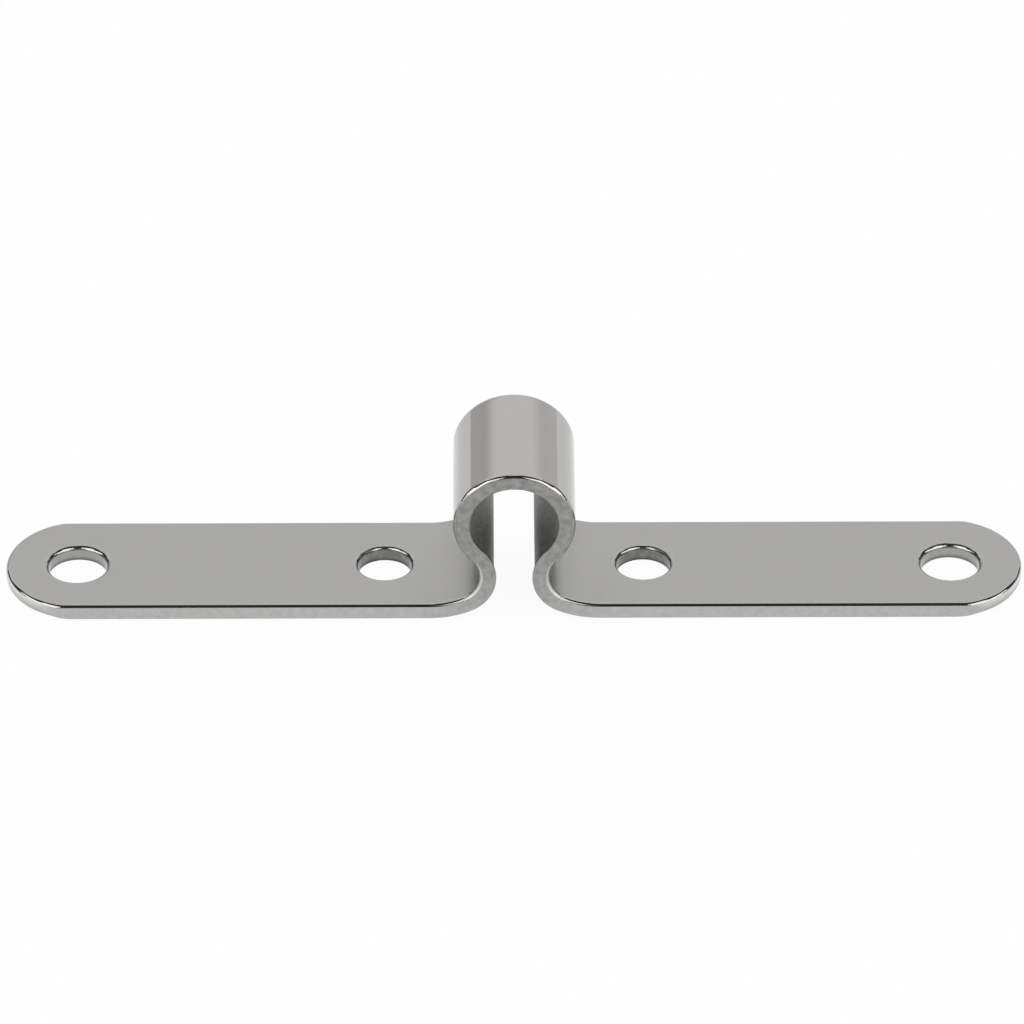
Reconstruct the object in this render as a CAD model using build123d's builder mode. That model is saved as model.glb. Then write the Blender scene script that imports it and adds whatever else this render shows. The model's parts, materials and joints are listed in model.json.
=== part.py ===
from build123d import *
import os
from math import acos, asin, cos, degrees, radians, sin, sqrt

# A strap gudgeon: one strip of stainless steel folded into an upright loop with two flat wings.
# X runs along the strip, Y along the pin, and the undersides of the wings lie on Z = 0.

# Strip stock
strip_thickness = 1.5
strip_width = 13.2
overall_length = 92.2

# Edges: rolled over on the face that the screw heads meet, only broken on the face that meets the pin
rolled_edge_radius = 0.4
broken_edge_width = 0.1

# Loop and neck, measured on the face that meets the pin
bore_diameter = 8.0
gap_width = 3.2
neck_radius = 4.0
foot_radius = 9.0
neck_turn = 66.0

# Wing ends: arcs a little flatter than a half circle, with a small blend into the straight edges
end_flatness = 0.25
end_blend_radius = 2.0

# Screw holes: the outer pair is placed from the tips, the inner pair from where the wings become flat
outer_hole_diameter = 5.3
outer_hole_inset = 6.5
outer_rim_radius = 0.5
inner_hole_diameter = 4.9
inner_hole_setback = 4.1
inner_rim_radius = 0.4

# The loop runs into the neck bend at the flank, where the two arcs share one tangent
bore_radius = bore_diameter / 2
neck_x = gap_width / 2 + neck_radius
centre_distance = bore_radius + neck_radius
flank_angle = -degrees(acos(neck_x / centre_distance))

# The neck bend turns past the narrowest point and a wider foot bend carries it on to the wing
neck_end_angle = 180 + neck_turn
radius_step = foot_radius - neck_radius
foot_x = neck_x + radius_step * cos(radians(neck_turn))
neck_z = foot_radius - radius_step * sin(radians(neck_turn))
loop_z = neck_z + sqrt(centre_distance**2 - neck_x**2)
loop_top = loop_z + bore_radius + strip_thickness

half_length = overall_length / 2
half_width = strip_width / 2
end_radius = half_width + end_flatness
end_centre_x = half_length - end_radius
end_angle = degrees(asin(half_width / end_radius))
edge_end_x = end_centre_x + end_radius * cos(radians(end_angle))
outer_hole_x = half_length - outer_hole_inset
inner_hole_x = foot_x + inner_hole_setback

with BuildPart() as gudgeon_strap:
    # Folded section across the full width: right half, bore side then wing side, and its mirror image
    with BuildSketch(Plane.XZ):
        with BuildLine():
            for depth in (0, strip_thickness):
                CenterArc((0, loop_z), bore_radius + depth, flank_angle, 90 - flank_angle)
                CenterArc((neck_x, neck_z), neck_radius - depth, flank_angle + 180, neck_turn - flank_angle)
                CenterArc((foot_x, foot_radius), foot_radius - depth, neck_end_angle, 90 - neck_turn)
                Line((foot_x, depth), (half_length, depth))
            Line((half_length, 0), (half_length, strip_thickness))
            mirror(about=Plane.YZ)
        make_face()
    extrude(amount=strip_width, both=True)

    # Outline of the blank from above trims the strip to width and rounds the wing ends
    with BuildSketch(Plane.XY):
        with BuildLine():
            for side in (1, -1):
                CenterArc((side * end_centre_x, 0), end_radius, 90 - 90 * side - end_angle, 2 * end_angle)
                Line((-edge_end_x, side * half_width), (edge_end_x, side * half_width))
        blank = make_face()
        fillet(blank.vertices(), radius=end_blend_radius)
    extrude(amount=loop_top, mode=Mode.INTERSECT)

    # Wing outlines: from the wings each outline runs on by itself, tangent, over the loop
    wing_faces = gudgeon_strap.faces().filter_by(Axis.Z).group_by(Axis.Z)
    fillet(wing_faces[-1].edges().filter_by(Axis.Y, reverse=True), radius=rolled_edge_radius)
    chamfer(wing_faces[0].edges().filter_by(Axis.Y, reverse=True), length=broken_edge_width)

    # Screw holes, rolled over at the top like the outline and broken underneath
    for hole_x, hole_diameter, rim_radius in (
        (outer_hole_x, outer_hole_diameter, outer_rim_radius),
        (inner_hole_x, inner_hole_diameter, inner_rim_radius),
    ):
        with Locations((hole_x, 0, strip_thickness), (-hole_x, 0, strip_thickness)):
            Hole(radius=hole_diameter / 2, depth=strip_thickness)
        rims = gudgeon_strap.edges(Select.LAST).filter_by(GeomType.CIRCLE).group_by(Axis.Z)
        fillet(rims[-1], radius=rim_radius)
        chamfer(rims[0], length=broken_edge_width)

gudgeon_strap.part.label = "gudgeon_strap"

os.makedirs("parts", exist_ok=True)
export_step(gudgeon_strap.part, "parts/gudgeon_strap.step")
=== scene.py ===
import json
import math
from collections import namedtuple

import bmesh
import bpy
from bpy.props import FloatProperty, FloatVectorProperty, IntProperty, PointerProperty
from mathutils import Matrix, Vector


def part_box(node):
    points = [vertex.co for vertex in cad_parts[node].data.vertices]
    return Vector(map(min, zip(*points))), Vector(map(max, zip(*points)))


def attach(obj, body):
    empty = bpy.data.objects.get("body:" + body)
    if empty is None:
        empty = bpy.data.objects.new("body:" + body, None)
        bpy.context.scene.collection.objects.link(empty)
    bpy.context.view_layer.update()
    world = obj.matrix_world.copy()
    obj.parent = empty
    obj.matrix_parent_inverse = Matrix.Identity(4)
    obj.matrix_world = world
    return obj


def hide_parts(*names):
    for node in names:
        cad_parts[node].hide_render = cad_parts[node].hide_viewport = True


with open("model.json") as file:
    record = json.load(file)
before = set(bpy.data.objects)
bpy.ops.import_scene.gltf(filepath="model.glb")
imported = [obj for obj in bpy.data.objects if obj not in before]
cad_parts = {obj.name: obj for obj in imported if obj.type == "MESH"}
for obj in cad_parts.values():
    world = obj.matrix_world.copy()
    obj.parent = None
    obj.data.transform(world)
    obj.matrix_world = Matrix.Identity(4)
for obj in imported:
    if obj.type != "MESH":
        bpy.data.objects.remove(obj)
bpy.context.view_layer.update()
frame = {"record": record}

bl_info = {
    "name": "Strap Gudgeon",
    "version": (1, 0, 0),
    "blender": (4, 5, 0),
    "location": "View3D > Sidebar > Gudgeon",
    "description": "Folds a polished stainless strap gudgeon and sets it on a pale studio floor",
    "category": "Add Mesh",
}

MM = 0.001
CAD_NODE = "gudgeon_strap"
PIECE_NAME = "folded_strap"
PLACE_LAYER = "strip_place"
SAME_PLACE = 0.001 * MM
POLISHED, ROLLED, RIMMED, FOLDED, SHEARED, MILLED, DRILLED = range(7)

# Tilts from the strip's upper face, in degrees, past which an edge takes another finish
EDGE_TILT = 68
FLANK_TILT = 40
FOOT_TILT = 48
SCUFFED_TILT = 12
UNDER_TILT = 95

# Greatest upward or downward part of the normal of a face that counts as a wall
WALL_RISE = 0.1

# Places where the edges' finishes change, as shares of half the loop's length
FLANK_START = 0.36
FLANK_END = 0.6
BORE_END = 1.25

# Distances from the middle of the flat strip between which one finish, or one painted light or shade, passes
# into another
LOOP_SIDE_SHADE_SPAN = (2.6 * MM, 4.6 * MM)
LOOP_FOOT_SPAN = (6.5 * MM, 9.5 * MM)
NECK_SPAN = (8 * MM, 11 * MM)
WING_SPAN = (7 * MM, 24 * MM)
HOLE_SPAN = (28 * MM, 48 * MM)
END_SPAN = (54.5 * MM, 57 * MM)
BEFORE_HOLES = (0, MM)

# Heights on the cut faces of the wing ends between which a painted sheen brightens them
END_HEIGHTS = (0.3 * MM, 1.1 * MM)

# Cells of noise in a metre along the strip, across it and through it
CLOUDS = (160, 260, 260)
HAIR_LINES = (300, 14000, 14000)
PATCHES = (1800, 1800, 1800)
SHEAR_MARKS = (7000, 7000, 500)
ROLLING_MARKS = (400, 9000, 9000)
DRILL_MARKS = (500, 500, 9000)

# Range that most of a noise lies in, and how strong patches are on the wings beside those round the folds
NOISE_SPAN = (0.3, 0.7)
WING_PATCHES = 1 / 3

mounts = {mount["name"]: mount for mount in frame["record"]["mounts"]}
low_corner, high_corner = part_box(CAD_NODE)

Bend = namedtuple("Bend", "x z radius start turn")
Card = namedtuple("Card", "name azimuths elevations light")

# Studio cards, in degrees of azimuth from the front and of elevation: black flags and white softboxes
MIDDLE_CARDS = (
    Card("overhead_flag", (-105, 105), (45, 82), "flag"),
    Card("front_flag", (-15, 15), (10, 45), "flag"),
)
SIDE_CARDS = (
    Card("front_softbox", (15, 28), (16, 45), "front_softbox"),
    Card("tall_softbox", (28, 64), (2, 45), "softbox"),
    Card("low_softbox", (64, 84), (2, 27), "softbox"),
    Card("end_softbox", (84, 96), (11, 27), "softbox"),
    Card("front_foot_flag", (15, 28), (0, 16), "flag"),
    Card("tall_foot_flag", (28, 84), (0, 2), "flag"),
    Card("high_flag", (64, 96), (27, 45), "flag"),
    Card("far_flag", (96, 122), (20, 45), "flag"),
    Card("side_flag", (96, 138), (11, 20), "flag"),
    Card("low_flag", (84, 138), (0, 11), "flag"),
    Card("screen", (141, 172), (0, 30), "screen"),
)

# Heights on a card, from 0 at its foot to 1 at its head, between which its brightness changes
CARD_FADE = (0.62, 1)


class StrapSizes(bpy.types.PropertyGroup):
    """Sizes of the strip and of its folds"""

    length: FloatProperty(
        name="Length", description="Strap from tip to tip",
        default=high_corner.x - low_corner.x, unit="LENGTH")
    width: FloatProperty(
        name="Width", description="Width of the strip, along the pin",
        default=high_corner.y - low_corner.y, unit="LENGTH")
    bore_radius: FloatProperty(
        name="Bore Radius", description="Inside radius of the loop",
        default=mounts["pin_bore"]["dims"]["r_mm"] * MM, unit="LENGTH")
    bore_height: FloatProperty(
        name="Bore Height", description="Pin axis above the mounting plane",
        default=mounts["pin_bore"]["pos_m"][2], unit="LENGTH")
    thickness: FloatProperty(
        name="Thickness", description="Thickness of the strip",
        default=1.5 * MM, unit="LENGTH")
    gap: FloatProperty(
        name="Neck Gap", description="Narrowest width between the two sides of the neck",
        default=3.2 * MM, unit="LENGTH")
    neck_radius: FloatProperty(
        name="Neck Radius", description="Bend of the neck, on the face that meets the pin",
        default=4.0 * MM, unit="LENGTH")
    foot_radius: FloatProperty(
        name="Foot Radius", description="Wider bend between the neck and a wing",
        default=9.0 * MM, unit="LENGTH")
    neck_turn: FloatProperty(
        name="Neck Turn", description="Turn of the neck past its narrowest place",
        default=math.radians(66), subtype="ANGLE")
    end_flatness: FloatProperty(
        name="End Flatness", description="How much the end radius exceeds half the width",
        default=0.25 * MM, unit="LENGTH")
    end_blend: FloatProperty(
        name="End Blend", description="Radius between an end arc and the straight edges",
        default=2.0 * MM, unit="LENGTH")
    rolled_edge: FloatProperty(
        name="Rolled Edge", description="Radius of the edges on the screw-head face",
        default=0.4 * MM, unit="LENGTH")
    broken_edge: FloatProperty(
        name="Broken Edge", description="Width of the broken edges on the pin face",
        default=0.1 * MM, unit="LENGTH")
    outer_hole_x: FloatProperty(
        name="Outer Hole Place", description="Outer hole from the middle of the strap",
        default=mounts["outer_holes"]["dims"]["spacing_x_mm"] * MM / 2, unit="LENGTH")
    outer_hole_radius: FloatProperty(
        name="Outer Hole Radius", description="Radius of the outer pair of screw holes",
        default=mounts["outer_holes"]["dims"]["hole_r_mm"] * MM, unit="LENGTH")
    outer_rim: FloatProperty(
        name="Outer Rim", description="Radius of the rolled rims of the outer holes",
        default=0.5 * MM, unit="LENGTH")
    inner_rim: FloatProperty(
        name="Inner Rim", description="Radius of the rolled rims of the inner holes",
        default=0.4 * MM, unit="LENGTH")
    inner_hole_x: FloatProperty(
        name="Inner Hole Place", description="Inner hole from the middle of the strap",
        default=mounts["inner_holes"]["dims"]["spacing_x_mm"] * MM / 2, unit="LENGTH")
    inner_hole_radius: FloatProperty(
        name="Inner Hole Radius", description="Radius of the inner pair of screw holes",
        default=mounts["inner_holes"]["dims"]["hole_r_mm"] * MM, unit="LENGTH")
    end_round: FloatProperty(
        name="End Round", description="Radius that wear and polishing leave under the wing ends",
        default=0.5 * MM, unit="LENGTH")
    end_fade: FloatVectorProperty(
        name="End Fade", description="Where that radius starts and is full, from the centre of the end arc",
        default=(0.75 * MM, 3.0 * MM), size=2, unit="LENGTH")
    neck_flare: FloatProperty(
        name="Neck Flare", description="How far the neck opens out behind its front edge",
        default=0.23 * MM, unit="LENGTH")
    lip_width: FloatProperty(
        name="Lip Width", description="Width of strip, from its front edge, over which the neck opens out",
        default=2.0 * MM, unit="LENGTH")
    rim_band: FloatProperty(
        name="Rim Band", description="Width of the ring of faces kept clear for a hole's rolled rim",
        default=0.7 * MM, unit="LENGTH")
    rows: IntProperty(
        name="Rows", description="Rows of faces across the strip", default=20, min=2)
    bend_step: FloatProperty(
        name="Bend Step", description="Turn from one line of faces to the next in a bend",
        default=math.radians(3), subtype="ANGLE")
    outline_step: FloatProperty(
        name="Outline Step", description="Length of the faces along the wing outlines",
        default=0.5 * MM, unit="LENGTH")
    edge_segments: IntProperty(
        name="Edge Segments", description="Faces across a rolled edge", default=8, min=2)
    break_segments: IntProperty(
        name="Break Segments", description="Faces across a broken edge", default=3, min=1)


class StrapFinish(bpy.types.PropertyGroup):
    """Colours and gloss of the steel, with the light and shade painted on it"""

    steel: FloatVectorProperty(
        name="Steel", description="Colour of the polished faces",
        default=(0.415, 0.410, 0.401), size=3, min=0, max=1, subtype="COLOR")
    steel_shade: FloatVectorProperty(
        name="Steel Shade", description="Colour where the polish is a little cloudy",
        default=(0.408, 0.403, 0.394), size=3, min=0, max=1, subtype="COLOR")
    # Painted light: the loop's middle is made lighter than the wings' steel, standing in for the brighter
    # reflections it shows
    painted_light_loop_steel: FloatVectorProperty(
        name="Loop Steel", description="Colour of the polished outside of the loop, buffed a little warmer",
        default=(0.456, 0.446, 0.440), size=3, min=0, max=1, subtype="COLOR")
    # Painted shade: the loop's sides are made darker, to hold down their brighter reflections at grazing
    # angles
    painted_shade_loop_side: FloatVectorProperty(
        name="Loop Side", description="Colour of the polished sides of the loop",
        default=(0.375, 0.371, 0.364), size=3, min=0, max=1, subtype="COLOR")
    sheared: FloatVectorProperty(
        name="Sheared Edge", description="Colour of the cut faces along the wings",
        default=(0.472, 0.468, 0.461), size=3, min=0, max=1, subtype="COLOR")
    sheared_loop: FloatVectorProperty(
        name="Sheared Loop", description="Colour of the cut faces round the folds, which polishing misses",
        default=(0.346, 0.344, 0.337), size=3, min=0, max=1, subtype="COLOR")
    # Rough mill finish and painted shade: the face that meets the pin is made darker, standing in for the
    # shade inside the loop
    milled_and_shaded: FloatVectorProperty(
        name="Mill Finish", description="Colour of the face that meets the pin",
        default=(0.32, 0.319, 0.309), size=3, min=0, max=1, subtype="COLOR")
    drilled: FloatVectorProperty(
        name="Drilled Wall", description="Colour of the walls of the outer holes",
        default=(0.36, 0.357, 0.351), size=3, min=0, max=1, subtype="COLOR")
    # Painted shade: the inner holes' walls are made darker, standing in for the shade that the loop casts
    # into them
    drilled_inner_painted_shade: FloatVectorProperty(
        name="Drilled Inner Wall", description="Colour of the walls of the inner holes, beside the loop",
        default=(0.23, 0.228, 0.223), size=3, min=0, max=1, subtype="COLOR")
    flank: FloatVectorProperty(
        name="Flank Edge", description="Colour of the rolled edge where the loop turns under into the neck",
        default=(0.43, 0.427, 0.42), size=3, min=0, max=1, subtype="COLOR")
    # Painted highlight: a bright line along the rolled edge inside the neck
    neck_edge_painted_highlight: FloatVectorProperty(
        name="Neck Edge", description="Colour of the rolled edge inside the neck, rubbed bright in folding",
        default=(0.6, 0.596, 0.588), size=3, min=0, max=1, subtype="COLOR")
    gloss: FloatVectorProperty(
        name="Gloss", description="Least and greatest roughness of the polish, along its hair lines",
        default=(0.05, 0.09), size=2, min=0, max=1)
    sheared_roughness: FloatVectorProperty(
        name="Sheared Roughness", description="Roughness of the cut faces, round the folds and on the wings",
        default=(0.36, 0.16), size=2, min=0, max=1)
    milled_roughness: FloatProperty(
        name="Milled Roughness", description="Roughness of the face that meets the pin",
        default=0.55, min=0, max=1)
    drilled_roughness: FloatVectorProperty(
        name="Drilled Roughness", description="Roughness of the walls of the inner and the outer holes",
        default=(0.22, 0.18), size=2, min=0, max=1)
    scuffed_roughness: FloatProperty(
        name="Scuffed Roughness", description="Roughness of the rolled edges that folding scuffs",
        default=0.45, min=0, max=1)
    face_satin: FloatProperty(
        name="Face Satin", description="Roughness added over the neck and the satin faces of the wings",
        default=0.28, min=0, max=1)
    edge_satin: FloatProperty(
        name="Edge Satin", description="Roughness added along the rolled edges of the wings",
        default=0.02, min=0, max=1)
    rim_satin: FloatProperty(
        name="Rim Satin", description="Roughness added round the rolled rims of the holes",
        default=0.08, min=0, max=1)
    # Painted shade: the bottoms of the hole walls are darkened, standing in for the shade near the floor
    wall_foot_painted_shade: FloatProperty(
        name="Torn Shade", description="Share of brightness left at the torn bottoms of the hole walls",
        default=0.25, min=0, max=1)
    # Height over which that painted shade fades out
    wall_foot_shade_height: FloatProperty(
        name="Torn Height", description="Height over which the torn bottoms of the hole walls fade out",
        default=0.5 * MM, unit="LENGTH")
    # Painted shade and sheen: the cut faces round the wing ends are darkened at their feet and lightened at
    # their heads, like the shading of a rounded edge
    end_painted_sheen: FloatVectorProperty(
        name="End Gloss", description="Brightness at the foot and head of the cut faces round the wing ends",
        default=(0.8, 1.5), size=2, min=0, max=2)
    mottle: FloatProperty(
        name="Mottle", description="Share of brightness left in the darkest patches round the folds",
        default=0.64, min=0, max=1)


class StudioSettings(bpy.types.PropertyGroup):
    """Camera, floor and light"""

    camera_pivot: FloatVectorProperty(
        name="Camera Pivot", description="Point that the camera swings about",
        default=(0, 0, 6 * MM), size=3, subtype="TRANSLATION", unit="LENGTH")
    camera_elevation: FloatProperty(
        name="Camera Elevation", description="Camera's height above the horizon",
        default=math.radians(35.14), subtype="ANGLE")
    camera_azimuth: FloatProperty(
        name="Camera Azimuth", description="Camera's turn round the part from straight in front",
        default=math.radians(-0.27), subtype="ANGLE")
    camera_distance: FloatProperty(
        name="Camera Distance", description="Camera from its pivot", default=0.77, unit="LENGTH")
    camera_aim: FloatVectorProperty(
        name="Camera Aim", description="Sideways and upward move of the camera off its pivot",
        default=(-0.181 * MM, 0.905 * MM), size=2, unit="LENGTH")
    lens: FloatProperty(
        name="Lens", description="Focal length in millimetres on a 36 mm sensor", default=299.1)
    floor_size: FloatProperty(
        name="Floor Size", description="Side of the square floor", default=12.0, unit="LENGTH")
    floor_drop: FloatProperty(
        name="Floor Drop", description="Floor below the wings, so that no faces coincide",
        default=0.02 * MM, unit="LENGTH")
    floor_colour: FloatVectorProperty(
        name="Floor", description="Colour of the floor",
        default=(0.95, 0.95, 0.95), size=3, min=0, max=1, subtype="COLOR")
    floor_glow: FloatProperty(
        name="Floor Glow", description="How far the floor is lit to white where it is seen directly",
        default=0.94)
    world_strength: FloatProperty(
        name="Surround", description="Brightness of the white surround", default=1.0)
    card_distance: FloatProperty(
        name="Card Distance", description="Studio cards from the part", default=2.0, unit="LENGTH")
    softbox_strength: FloatProperty(
        name="Softboxes", description="Brightness of the white cards in the steel's reflections",
        default=2.15)
    front_strength: FloatProperty(
        name="Front Softboxes", description="Brightness of the two white cards nearest the camera",
        default=1.6)
    flag_strength: FloatProperty(
        name="Flags", description="Brightness of the black cards in the steel's reflections", default=0.045)
    left_screen: FloatProperty(
        name="Left Screen", description="Brightness of the back left screen, up to its white head",
        default=0.65)
    right_screen: FloatProperty(
        name="Right Screen", description="Brightness of the back right screen, up to its white head",
        default=0.78)


def strap_bends(sizes):
    """Half of the folded line on the face that meets the pin: loop, neck and foot, from the top down."""
    neck_x = sizes.gap / 2 + sizes.neck_radius
    flank = -math.acos(neck_x / (sizes.bore_radius + sizes.neck_radius))
    step = sizes.foot_radius - sizes.neck_radius
    foot_x = neck_x + step * math.cos(sizes.neck_turn)
    neck_z = sizes.foot_radius - step * math.sin(sizes.neck_turn)
    neck_end = math.pi + sizes.neck_turn
    return (
        Bend(0, sizes.bore_height, sizes.bore_radius, math.pi / 2, flank - math.pi / 2),
        Bend(neck_x, neck_z, sizes.neck_radius, math.pi + flank, sizes.neck_turn - flank),
        Bend(foot_x, sizes.foot_radius, sizes.foot_radius, neck_end, math.pi / 2 - sizes.neck_turn),
    )


def bend_length(bend):
    """Length of a bend along the face that meets the pin."""
    return bend.radius * abs(bend.turn)


def folded(bends, along, across, up):
    """Place on the folded strap of a point of the flat strip: along it, across it and up through it."""
    side = math.copysign(1, along)
    run = abs(along)
    for bend in bends:
        if run < bend_length(bend):
            way = math.copysign(1, bend.turn)
            angle = bend.start + way * run / bend.radius
            reach = bend.radius - way * up
            x = bend.x + reach * math.cos(angle)
            return Vector((side * x, across, bend.z + reach * math.sin(angle)))
        run -= bend_length(bend)
    return Vector((side * (bends[-1].x + run), across, up))


def spaced(first, last, steps):
    """Evenly spaced values from first to last."""
    return [first + (last - first) * index / steps for index in range(steps + 1)]


def arc(centre, radius, first, last, step):
    """Points along an arc on the flat strip, at most a step apart."""
    steps = max(2, math.ceil(abs(last - first) * radius / step))
    return [
        Vector((centre[0] + radius * math.cos(angle), centre[1] + radius * math.sin(angle), 0))
        for angle in spaced(first, last, steps)
    ]


def bend_stations(bends, step):
    """Places along half of the strip where a line of faces crosses the bends."""
    stations = [0.0]
    for bend in bends:
        steps = math.ceil(abs(bend.turn) / step)
        stations += spaced(stations[-1], stations[-1] + bend_length(bend), steps)[1:]
    return stations


def add_strip(blank, stations, rows):
    """Rows of four-sided faces between the given places along the strip."""
    grid = [[blank.verts.new((along, across, 0)) for across in rows] for along in stations]
    for near, far in zip(grid, grid[1:]):
        for row in range(len(rows) - 1):
            blank.faces.new((near[row], far[row], far[row + 1], near[row + 1]))


def add_ring(blank, outline, centre_x, radius, rim_band):
    """Rings of four-sided faces from a hole out to the closed outline round it."""
    centre = Vector((centre_x, 0, 0))
    rings = [[], [], [], []]
    for point in outline:
        outward = (point - centre).normalized()
        rim = centre + outward * radius
        band = rim + outward * rim_band
        for ring, place in zip(rings, (rim, band, (band + point) / 2, point)):
            ring.append(blank.verts.new(place))
    for inside, outside in zip(rings, rings[1:]):
        for index in range(len(outline)):
            following = (index + 1) % len(outline)
            blank.faces.new(
                (inside[index], outside[index], outside[following], inside[following]))


def edge_points(first_x, last_x, y, step):
    """Points along a straight edge of the wing, without the last."""
    steps = max(2, math.ceil(abs(last_x - first_x) / step))
    return [Vector((x, y, 0)) for x in spaced(first_x, last_x, steps)[:-1]]


def box_outline(near_x, far_x, rows, step):
    """Closed outline of a plain stretch of wing."""
    half = rows[-1]
    outline = edge_points(near_x, far_x, -half, step)
    outline += [Vector((far_x, y, 0)) for y in rows[:-1]]
    outline += edge_points(far_x, near_x, half, step)
    return outline + [Vector((near_x, y, 0)) for y in reversed(rows[1:])]


def end_outline(sizes, near_x, tip_x, rows):
    """Closed outline of a wing's end: straight edges, finely stepped small blends and the end arc."""
    half = rows[-1]
    step = sizes.outline_step
    end_radius = half + sizes.end_flatness
    centre_x = tip_x - end_radius
    blend_y = half - sizes.end_blend
    blend_reach = end_radius - sizes.end_blend
    blend_angle = math.asin(blend_y / blend_reach)
    blend_x = centre_x + blend_reach * math.cos(blend_angle)
    fine = step / 3
    quarter = math.pi / 2
    outline = edge_points(near_x, blend_x, -half, step)
    outline += arc((blend_x, -blend_y), sizes.end_blend, -quarter, -blend_angle, fine)[:-1]
    outline += arc((centre_x, 0), end_radius, -blend_angle, blend_angle, step)[:-1]
    outline += arc((blend_x, blend_y), sizes.end_blend, blend_angle, quarter, fine)[:-1]
    outline += edge_points(blend_x, near_x, half, step)
    return outline + [Vector((near_x, y, 0)) for y in reversed(rows[1:])]


def add_wing(blank, sizes, rows, flat_start, foot_x):
    """One flat wing with its two holes, laid out to the right of the bends."""
    half = rows[-1]
    offset = flat_start - foot_x
    inner_x = offset + sizes.inner_hole_x
    outer_x = offset + sizes.outer_hole_x
    tip_x = offset + sizes.length / 2
    inner_far = 2 * inner_x - flat_start
    outer_near = outer_x - half
    add_ring(
        blank, box_outline(flat_start, inner_far, rows, sizes.outline_step),
        inner_x, sizes.inner_hole_radius, sizes.rim_band)
    plain_steps = math.ceil((outer_near - inner_far) / (rows[1] - rows[0]))
    add_strip(blank, spaced(inner_far, outer_near, plain_steps), rows)
    add_ring(
        blank, end_outline(sizes, outer_near, tip_x, rows),
        outer_x, sizes.outer_hole_radius, sizes.rim_band)
    holes = (
        (inner_x, sizes.inner_hole_radius + sizes.rim_band),
        (outer_x, sizes.outer_hole_radius + sizes.rim_band),
    )
    return holes, tip_x


def flat_blank(sizes, bends):
    """The strip before it is folded: a solid with its holes, rolled upper edges and broken lower edges."""
    half = sizes.width / 2
    rows = spaced(-half, half, sizes.rows)
    stations = bend_stations(bends, sizes.bend_step)
    blank = bmesh.new()
    holes, tip_x = add_wing(blank, sizes, rows, stations[-1], bends[-1].x)
    add_strip(blank, stations, rows)
    right_half = blank.verts[:] + blank.edges[:] + blank.faces[:]
    bmesh.ops.mirror(blank, geom=right_half, axis="X", merge_dist=-1)
    bmesh.ops.remove_doubles(blank, verts=blank.verts, dist=SAME_PLACE)

    bmesh.ops.recalc_face_normals(blank, faces=blank.faces)
    sheet = blank.faces[:]
    raised = bmesh.ops.extrude_face_region(blank, geom=sheet, use_keep_orig=True)["geom"]
    for part in raised:
        if isinstance(part, bmesh.types.BMVert):
            part.co.z = sizes.thickness
    bmesh.ops.recalc_face_normals(blank, faces=blank.faces)

    outline, inner_rims, outer_rims, lower = [], [], [], []
    for face in blank.faces:
        facing = round(face.normal.z)
        if facing == -1:
            face.material_index = MILLED
        elif facing == 0:
            in_inner, in_outer = (near_hole([hole], face) for hole in holes)
            face.material_index = DRILLED if in_inner or in_outer else SHEARED
            for edge in face.edges:
                start, end = (vert.co for vert in edge.verts)
                if start.z != end.z:
                    continue
                if start.z < sizes.thickness / 2:
                    lower.append(edge)
                elif in_inner:
                    inner_rims.append(edge)
                elif in_outer:
                    outer_rims.append(edge)
                else:
                    outline.append(edge)
    round_edges(blank, outline, sizes.rolled_edge, sizes.edge_segments, ROLLED)
    round_edges(blank, inner_rims, sizes.inner_rim, sizes.edge_segments, RIMMED)
    round_edges(blank, outer_rims, sizes.outer_rim, sizes.edge_segments, RIMMED)
    round_edges(blank, lower, sizes.broken_edge, sizes.break_segments, SHEARED)
    round_ends(blank, sizes, holes, tip_x)
    dull_edges(blank, bends, holes)

    # Rolling the edges lists the mesh in another order each run
    put_in_order(blank.verts, lambda vert: tuple(vert.co))
    put_in_order(blank.edges, corner_numbers)
    put_in_order(blank.faces, corner_numbers)
    return blank


def put_in_order(parts, key):
    """Lists the vertices, edges or faces of a mesh in the order of a key."""
    for index, part in enumerate(sorted(parts, key=key)):
        part.index = index
    parts.sort()
    parts.index_update()


def corner_numbers(part):
    """Numbers of the vertices of an edge or a face, lowest first."""
    return sorted(vert.index for vert in part.verts)


def near_hole(holes, face):
    """Whether a face belongs to the wall or the rim of one of the given pairs of holes."""
    centre = face.calc_center_median()
    return any(math.hypot(abs(centre.x) - hole_x, centre.y) < reach for hole_x, reach in holes)


def round_edges(blank, edges, offset, segments, finish):
    """Rolls or breaks a list of edges."""
    bmesh.ops.bevel(
        blank, geom=edges, affect="EDGES", offset_type="OFFSET", offset=offset,
        segments=segments, profile=0.5, material=finish, loop_slide=True)


def eased(value, first, last):
    """Smooth rise from 0 to 1 as a value goes from first to last."""
    share = min(1, max(0, (value - first) / (last - first)))
    return share * share * (3 - 2 * share)


def corner_inset(radius, height):
    """How far a rounded lower corner stands back from its wall at a height."""
    return radius - math.sqrt(max(0, radius ** 2 - max(0, radius - height) ** 2))


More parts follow.
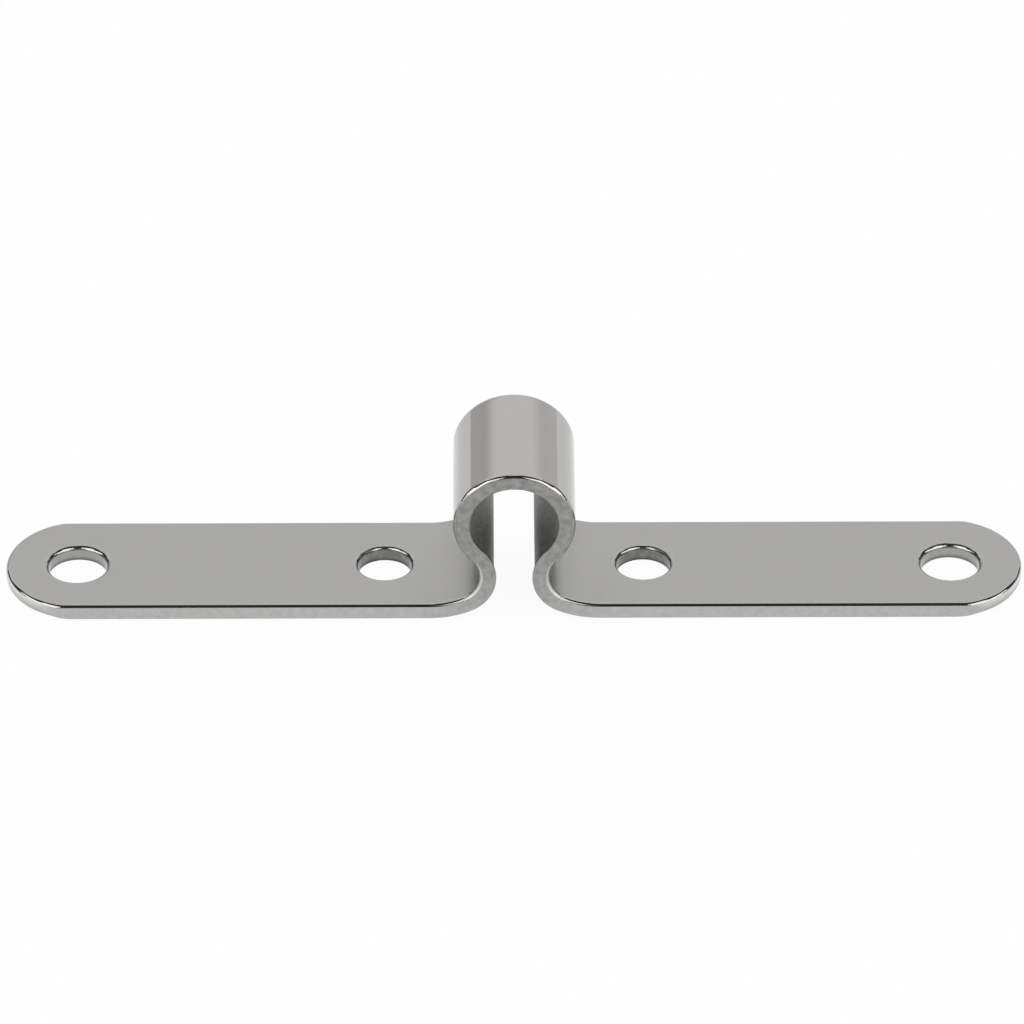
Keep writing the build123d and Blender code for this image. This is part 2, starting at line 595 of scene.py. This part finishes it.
def round_ends(blank, sizes, holes, tip_x):
    """Rounds the lower edges of the wing ends further than the broken edges elsewhere."""
    for height in spaced(sizes.broken_edge, sizes.end_round, sizes.break_segments + 1)[1:]:
        walls = [face for face in blank.faces if abs(face.normal.z) < WALL_RISE]
        around = dict.fromkeys(edge for face in walls for edge in face.edges)
        bmesh.ops.bisect_plane(
            blank, geom=walls + list(around), plane_co=(0, 0, height), plane_no=(0, 0, 1))
    centre_x = tip_x - sizes.width / 2 - sizes.end_flatness
    outline = {
        vert for face in blank.faces
        if face.material_index == SHEARED and not near_hole(holes, face)
        for vert in face.verts if vert.co.z < sizes.end_round
    }
    for vert in outline:
        side = math.copysign(1, vert.co.x)
        outward = Vector((vert.co.x - side * centre_x, vert.co.y, 0))
        share = eased(side * outward.x, *sizes.end_fade)
        extra = corner_inset(sizes.end_round, vert.co.z) - corner_inset(sizes.broken_edge, vert.co.z)
        vert.co -= outward.normalized() * share * extra


def buffed_tilt(bends, run):
    """Tilt that a buffing wheel reaches round an edge, at a distance from the middle of the strip."""
    loop, neck, foot = (bend_length(bend) for bend in bends)
    if FLANK_START * loop < run < FLANK_END * loop:
        return FLANK_TILT
    if loop + neck < run < loop + neck + foot:
        return FOOT_TILT
    return EDGE_TILT


def dull_edges(blank, bends, holes):
    """Takes the polish off the edges where a buffing wheel would not reach."""
    blank.normal_update()
    loop, neck = (bend_length(bend) for bend in bends[:2])
    for face in blank.faces:
        finish = face.material_index
        run = abs(face.calc_center_median().x)
        tilt = math.degrees(math.acos(face.normal.z))
        in_fold = FLANK_END * loop < run < loop + neck
        underneath = finish == SHEARED and tilt > UNDER_TILT
        if finish == ROLLED and tilt > buffed_tilt(bends, run):
            face.material_index = SHEARED
        elif finish == RIMMED and tilt > EDGE_TILT:
            face.material_index = DRILLED
        elif finish == ROLLED and tilt > SCUFFED_TILT and in_fold:
            face.material_index = FOLDED
        elif underneath and near_hole(holes, face):
            face.material_index = DRILLED
        elif underneath and run < BORE_END * loop:
            face.material_index = MILLED


def flare(sizes, bends, along, across):
    """How far the neck stands back from the gap behind its front edge."""
    loop, neck = bends[:2]
    from_waist = abs(along) - bend_length(loop) - neck.radius * (math.pi - neck.start)
    swell = math.cos(math.pi / 2 * min(1, abs(from_waist) / neck.radius)) ** 2
    near_edge = max(0, 1 - (across + sizes.width / 2) / sizes.lip_width)
    return sizes.neck_flare * swell * (1 - near_edge ** 2)


def fold(blank, sizes, bends):
    """Folds the flat strip, and keeps each point's flat place for the finish to follow."""
    place = blank.verts.layers.float_vector.new(PLACE_LAYER)
    for vert in blank.verts:
        along, across, up = vert.co
        vert[place] = vert.co
        vert.co = folded(bends, along, across, up + flare(sizes, bends, along, across))
    sharp_angle = math.radians(30)
    for face in blank.faces:
        face.smooth = True
    for edge in blank.edges:
        edge.smooth = edge.calc_face_angle() < sharp_angle


def new_material(name):
    """A node material with a metal shader, and the parts of it that its maker needs."""
    material = bpy.data.materials.new(name)
    material.use_nodes = True
    nodes = material.node_tree.nodes
    shader = nodes["Principled BSDF"]
    shader.inputs["Metallic"].default_value = 1.0
    return material, nodes, material.node_tree.links, shader


def strip_place(nodes):
    """Where a point lay on the flat strip: along it, across it and up from the pin face."""
    place = nodes.new("ShaderNodeAttribute")
    place.attribute_name = PLACE_LAYER
    return place.outputs["Vector"]


def strip_noise(nodes, links, scale, detail):
    """Noise laid out on the flat strip."""
    stretch = nodes.new("ShaderNodeVectorMath")
    stretch.operation = "MULTIPLY"
    stretch.inputs[1].default_value = scale
    noise = nodes.new("ShaderNodeTexNoise")
    noise.inputs["Scale"].default_value = 1.0
    noise.inputs["Detail"].default_value = detail
    links.new(strip_place(nodes), stretch.inputs[0])
    links.new(stretch.outputs["Vector"], noise.inputs["Vector"])
    return noise.outputs["Fac"]


def from_middle(nodes, links, near, far):
    """Factor that rises from 0 to 1 along each half of the strip, between two distances from its middle."""
    split = nodes.new("ShaderNodeSeparateXYZ")
    size = nodes.new("ShaderNodeMath")
    size.operation = "ABSOLUTE"
    links.new(strip_place(nodes), split.inputs["Vector"])
    links.new(split.outputs["X"], size.inputs[0])
    rise = remapped(nodes, links, size.outputs["Value"], (near, far), (0, 1))
    rise.node.interpolation_type = "SMOOTHSTEP"
    return rise


def mixed(nodes, links, factor, first, second):
    """Mix of two colours, each a tint or the output of a node."""
    mix = nodes.new("ShaderNodeMix")
    mix.data_type = "RGBA"
    links.new(factor, mix.inputs["Factor"])
    for socket, colour in ((mix.inputs[6], first), (mix.inputs[7], second)):
        if isinstance(colour, bpy.types.NodeSocket):
            links.new(colour, socket)
        else:
            socket.default_value = (*colour, 1)
    return mix.outputs[2]


def remapped(nodes, links, factor, source, target):
    """A factor stretched from one range to another, and held at its ends."""
    stretch = nodes.new("ShaderNodeMapRange")
    stretch.inputs["From Min"].default_value = source[0]
    stretch.inputs["From Max"].default_value = source[1]
    stretch.inputs["To Min"].default_value = target[0]
    stretch.inputs["To Max"].default_value = target[1]
    links.new(factor, stretch.inputs["Value"])
    return stretch.outputs["Result"]


def combined(nodes, links, operation, first, second):
    """Two factors joined by a plain operation."""
    joined = nodes.new("ShaderNodeMath")
    joined.operation = operation
    links.new(first, joined.inputs[0])
    links.new(second, joined.inputs[1])
    return joined.outputs["Value"]


def bump(nodes, links, height, distance, strength):
    """Surface relief from a height field."""
    relief = nodes.new("ShaderNodeBump")
    relief.inputs["Distance"].default_value = distance
    relief.inputs["Strength"].default_value = strength
    links.new(height, relief.inputs["Height"])
    return relief.outputs["Normal"]


def polished_steel(name, finish, satin):
    """Buffed steel: faint clouds in the polish, hair lines along the strip, a glossier loop, painted light
    on the loop's middle and painted shade on its sides.
    """
    material, nodes, links, shader = new_material(name)
    clouds = strip_noise(nodes, links, CLOUDS, detail=3)
    lines = strip_noise(nodes, links, HAIR_LINES, detail=2)
    cloudy = mixed(
        nodes, links, remapped(nodes, links, clouds, NOISE_SPAN, (0, 1)), finish.steel_shade, finish.steel)
    # Painted light on the loop's middle and painted shade on its sides, fading into the wings' steel below
    # the loop
    loop_side_shade_share = from_middle(nodes, links, *LOOP_SIDE_SHADE_SPAN)
    loop = mixed(nodes, links, loop_side_shade_share, finish.painted_light_loop_steel, finish.painted_shade_loop_side)
    below_loop = from_middle(nodes, links, *LOOP_FOOT_SPAN)
    links.new(mixed(nodes, links, below_loop, loop, cloudy), shader.inputs["Base Color"])
    dullness = remapped(nodes, links, below_loop, (0, 1), (0, satin))
    gloss = remapped(nodes, links, lines, NOISE_SPAN, finish.gloss)
    links.new(combined(nodes, links, "ADD", gloss, dullness), shader.inputs["Roughness"])
    relief = bump(nodes, links, lines, distance=0.0003 * MM, strength=0.2)
    links.new(relief, shader.inputs["Normal"])
    return material


def dull_steel(name, finish, span, colours, roughness, marks_scale):
    """A face that polishing only half reaches: mottled, and with tool marks.

    The two colours and the two roughnesses are those before and beyond a span along the strip.
    """
    material, nodes, links, shader = new_material(name)
    patches = remapped(
        nodes, links, strip_noise(nodes, links, PATCHES, detail=4), NOISE_SPAN, (0, 1))
    marks = strip_noise(nodes, links, marks_scale, detail=2)
    beyond = from_middle(nodes, links, *span)
    loss = 1 - finish.mottle
    dark_colours = [
        [(1 - share * loss) * level for level in colour]
        for colour, share in zip(colours, (1, WING_PATCHES))
    ]
    dark_steel = mixed(nodes, links, beyond, *dark_colours)
    light_steel = mixed(nodes, links, beyond, *colours)
    steel = mixed(nodes, links, patches, dark_steel, light_steel)
    links.new(steel, shader.inputs["Base Color"])
    links.new(remapped(nodes, links, beyond, (0, 1), roughness), shader.inputs["Roughness"])
    relief = bump(nodes, links, marks, distance=0.001 * MM, strength=0.15)
    links.new(relief, shader.inputs["Normal"])
    return material


def paint_wall_shading(material, heights, shares, span):
    """Paints light and shade on a wall by grading its brightness from its foot to its head, beyond a span
    along the strip.
    """
    nodes = material.node_tree.nodes
    links = material.node_tree.links
    colour = nodes["Principled BSDF"].inputs["Base Color"]
    split = nodes.new("ShaderNodeSeparateXYZ")
    links.new(strip_place(nodes), split.inputs["Vector"])
    rise = remapped(nodes, links, split.outputs["Z"], heights, shares)
    gain = nodes.new("ShaderNodeMix")
    gain.inputs["A"].default_value = 1
    links.new(from_middle(nodes, links, *span), gain.inputs["Factor"])
    links.new(rise, gain.inputs["B"])
    scaled = nodes.new("ShaderNodeVectorMath")
    scaled.operation = "SCALE"
    links.new(colour.links[0].from_socket, scaled.inputs[0])
    links.new(gain.outputs["Result"], scaled.inputs["Scale"])
    links.new(scaled.outputs["Vector"], colour)


def sheared_steel(finish):
    """Cut faces, with shear marks through the thickness, and painted shade at the feet and a painted sheen
    at the heads of those round the wing ends.
    """
    material = dull_steel(
        "sheared_stainless", finish, WING_SPAN, (finish.sheared_loop, finish.sheared),
        finish.sheared_roughness, SHEAR_MARKS)
    # Painted sheen at the heads and painted shade at the feet of the cut faces round the wing ends
    paint_wall_shading(material, END_HEIGHTS, finish.end_painted_sheen, END_SPAN)
    return material


def milled_steel(finish):
    """The face that meets the pin, with rolling marks along the strip, rough for its mill finish and
    darkened with painted shade inside the loop.
    """
    roughness = (finish.milled_roughness, finish.milled_roughness)
    # The darker colour is painted shade inside the loop; the roughness is the mill finish
    return dull_steel(
        "milled_stainless", finish, WING_SPAN, (finish.milled_and_shaded, finish.milled_and_shaded), roughness, ROLLING_MARKS)


def drilled_steel(finish):
    """Walls of the screw holes, with fine marks round them, painted shade on the inner holes' walls beside
    the loop, and painted shade at the bottoms of all the walls.
    """
    # The inner holes' walls take painted shade from the loop beside them
    material = dull_steel(
        "drilled_stainless", finish, HOLE_SPAN, (finish.drilled_inner_painted_shade, finish.drilled),
        finish.drilled_roughness, DRILL_MARKS)
    # Painted shade at the bottoms of the hole walls
    paint_wall_shading(material, (0, finish.wall_foot_shade_height), (finish.wall_foot_painted_shade, 1), BEFORE_HOLES)
    return material


def folded_steel(finish):
    """Rolled edges of the flanks and the neck, scuffed in folding, with a painted highlight along the neck's
    edge.
    """
    roughness = (finish.scuffed_roughness, finish.scuffed_roughness)
    # The neck's edge colour is a painted highlight
    return dull_steel(
        "folded_stainless", finish, NECK_SPAN, (finish.flank, finish.neck_edge_painted_highlight), roughness, SHEAR_MARKS)


class GUDGEON_OT_fold_strap(bpy.types.Operator):
    """Cut, hole and fold the strip, and give it its steel finish"""

    bl_idname = "gudgeon.fold_strap"
    bl_label = "Fold Strap"

    def execute(self, context):
        sizes = context.scene.strap_sizes
        finish = context.scene.strap_finish
        bends = strap_bends(sizes)
        blank = flat_blank(sizes, bends)
        fold(blank, sizes, bends)
        mesh = bpy.data.meshes.new(PIECE_NAME)
        blank.to_mesh(mesh)
        blank.free()
        mesh.materials.append(polished_steel("polished_stainless", finish, finish.face_satin))
        mesh.materials.append(polished_steel("rolled_stainless", finish, finish.edge_satin))
        mesh.materials.append(polished_steel("rimmed_stainless", finish, finish.rim_satin))
        for steel in (folded_steel, sheared_steel, milled_steel, drilled_steel):
            mesh.materials.append(steel(finish))
        strap = bpy.data.objects.new(PIECE_NAME, mesh)
        context.scene.collection.objects.link(strap)
        normals = strap.modifiers.new("Flat Faces Stay Flat", "WEIGHTED_NORMAL")
        normals.keep_sharp = True
        normals.weight = 100
        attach(strap, "root")
        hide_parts(CAD_NODE)
        return {"FINISHED"}


def glow_material(name, strengths):
    """A card whose brightness runs from one strength at its foot to another at its head."""
    material = bpy.data.materials.new(name)
    material.use_nodes = True
    nodes = material.node_tree.nodes
    links = material.node_tree.links
    nodes.clear()
    output = nodes.new("ShaderNodeOutputMaterial")
    glow = nodes.new("ShaderNodeEmission")
    place = nodes.new("ShaderNodeTexCoord")
    split = nodes.new("ShaderNodeSeparateXYZ")
    links.new(place.outputs["Generated"], split.inputs["Vector"])
    rise = remapped(nodes, links, split.outputs["Z"], CARD_FADE, strengths)
    rise.node.interpolation_type = "SMOOTHSTEP"
    links.new(rise, glow.inputs["Strength"])
    links.new(glow.outputs["Emission"], output.inputs["Surface"])
    return material


def floor_material(studio):
    """Pale floor that takes the part's shadow, and looks nearly white by itself and in the steel."""
    material = bpy.data.materials.new("pale_floor")
    material.use_nodes = True
    nodes = material.node_tree.nodes
    links = material.node_tree.links
    nodes.clear()
    output = nodes.new("ShaderNodeOutputMaterial")
    paint = nodes.new("ShaderNodeBsdfDiffuse")
    paint.inputs["Color"].default_value = (*studio.floor_colour, 1)
    glow = nodes.new("ShaderNodeEmission")
    both = nodes.new("ShaderNodeMixShader")
    path = nodes.new("ShaderNodeLightPath")
    seen = combined(nodes, links, "MAXIMUM", path.outputs["Is Camera Ray"], path.outputs["Is Glossy Ray"])
    seen = combined(nodes, links, "MAXIMUM", seen, path.outputs["Is Transmission Ray"])
    links.new(remapped(nodes, links, seen, (0, 1), (0, studio.floor_glow)), both.inputs["Fac"])
    links.new(paint.outputs["BSDF"], both.inputs[1])
    links.new(glow.outputs["Emission"], both.inputs[2])
    links.new(both.outputs["Shader"], output.inputs["Surface"])
    return material


def add_stage(scene, name, bm, material):
    """A stage object from a finished bmesh."""
    mesh = bpy.data.meshes.new(name)
    bm.to_mesh(mesh)
    bm.free()
    mesh.materials.append(material)
    piece = bpy.data.objects.new(name, mesh)
    scene.collection.objects.link(piece)
    return piece


def add_floor(scene, studio):
    """The floor, just below the wings."""
    bm = bmesh.new()
    bmesh.ops.create_grid(bm, x_segments=1, y_segments=1, size=studio.floor_size / 2)
    floor = add_stage(scene, "floor", bm, floor_material(studio))
    floor.location.z = -studio.floor_drop


def direction(azimuth, elevation):
    """Unit vector towards an azimuth, which turns from the part's front to its right, and an elevation."""
    return Vector((
        math.sin(azimuth) * math.cos(elevation),
        -math.cos(azimuth) * math.cos(elevation),
        math.sin(elevation),
    ))


def add_card(scene, studio, name, azimuths, elevations, strengths):
    """A studio card on a sphere round the part, which shows only in the steel's reflections."""
    bm = bmesh.new()
    bmesh.ops.create_grid(bm, x_segments=24, y_segments=24, size=1)
    for vert in bm.verts:
        turn = math.radians(azimuths[0] + (azimuths[1] - azimuths[0]) * (vert.co.x + 1) / 2)
        rise = math.radians(elevations[0] + (elevations[1] - elevations[0]) * (vert.co.y + 1) / 2)
        vert.co = studio.card_distance * direction(turn, rise)
    card = add_stage(scene, name, bm, glow_material(name, strengths))
    card.visible_camera = False
    card.visible_diffuse = False
    card.visible_shadow = False
    card.visible_transmission = False


def add_world(scene, studio):
    """The white surround that lights the part."""
    world = bpy.data.worlds.new("white_surround")
    world.use_nodes = True
    background = world.node_tree.nodes["Background"]
    background.inputs["Color"].default_value = (1, 1, 1, 1)
    background.inputs["Strength"].default_value = studio.world_strength
    scene.world = world


def add_camera(scene, studio):
    """The camera, looking at the part from the front and above."""
    data = bpy.data.cameras.new("camera")
    data.lens = studio.lens
    data.sensor_width = 36
    data.clip_start = 0.01
    data.clip_end = 100
    camera = bpy.data.objects.new("camera", data)
    scene.collection.objects.link(camera)
    back = direction(studio.camera_azimuth, studio.camera_elevation)
    right = direction(studio.camera_azimuth + math.pi / 2, 0)
    above = back.cross(right)
    aside, upward = studio.camera_aim
    camera.location = Vector(studio.camera_pivot) + back * studio.camera_distance
    camera.location += right * aside + above * upward
    camera.rotation_mode = "QUATERNION"
    camera.rotation_quaternion = (-back).to_track_quat("-Z", "Y")
    scene.camera = camera


class GUDGEON_OT_set_stage(bpy.types.Operator):
    """Lay the pale floor, hang the studio cards and place the camera"""

    bl_idname = "gudgeon.set_stage"
    bl_label = "Set Stage"

    def execute(self, context):
        scene = context.scene
        studio = scene.gudgeon_studio
        add_floor(scene, studio)
        add_world(scene, studio)
        lights = {
            "flag": (studio.flag_strength, studio.flag_strength),
            "softbox": (studio.softbox_strength, studio.softbox_strength),
            "front_softbox": (studio.front_strength, studio.front_strength),
        }
        for card in MIDDLE_CARDS:
            add_card(scene, studio, card.name, card.azimuths, card.elevations, lights[card.light])
        for side, side_name, shade in ((-1, "left", studio.left_screen), (1, "right", studio.right_screen)):
            lights["screen"] = (shade, 1)
            for card in SIDE_CARDS:
                turned = [side * azimuth for azimuth in card.azimuths]
                name = f"{side_name}_{card.name}"
                add_card(scene, studio, name, turned, card.elevations, lights[card.light])
        add_camera(scene, studio)
        scene.view_settings.view_transform = "Standard"
        return {"FINISHED"}


class GUDGEON_PT_sidebar(bpy.types.Panel):
    """Lists the steps that make the gudgeon"""

    bl_idname = "GUDGEON_PT_sidebar"
    bl_label = "Strap Gudgeon"
    bl_space_type = "VIEW_3D"
    bl_region_type = "UI"
    bl_category = "Gudgeon"

    def draw(self, context):
        scene = context.scene
        steps = (
            (GUDGEON_OT_fold_strap, (scene.strap_sizes, scene.strap_finish)),
            (GUDGEON_OT_set_stage, (scene.gudgeon_studio,)),
        )
        for operator, groups in steps:
            box = self.layout.box()
            for group in groups:
                for name in group.__annotations__:
                    box.prop(group, name)
            box.operator(operator.bl_idname)


classes = (
    StrapSizes,
    StrapFinish,
    StudioSettings,
    GUDGEON_OT_fold_strap,
    GUDGEON_OT_set_stage,
    GUDGEON_PT_sidebar,
)


def register():
    for item in classes:
        bpy.utils.register_class(item)
    bpy.types.Scene.strap_sizes = PointerProperty(type=StrapSizes)
    bpy.types.Scene.strap_finish = PointerProperty(type=StrapFinish)
    bpy.types.Scene.gudgeon_studio = PointerProperty(type=StudioSettings)


def unregister():
    del bpy.types.Scene.gudgeon_studio
    del bpy.types.Scene.strap_finish
    del bpy.types.Scene.strap_sizes
    for item in reversed(classes):
        bpy.utils.unregister_class(item)


def main():
    register()
    bpy.ops.gudgeon.fold_strap()
    bpy.ops.gudgeon.set_stage()


if __name__ == "__main__":
    main()
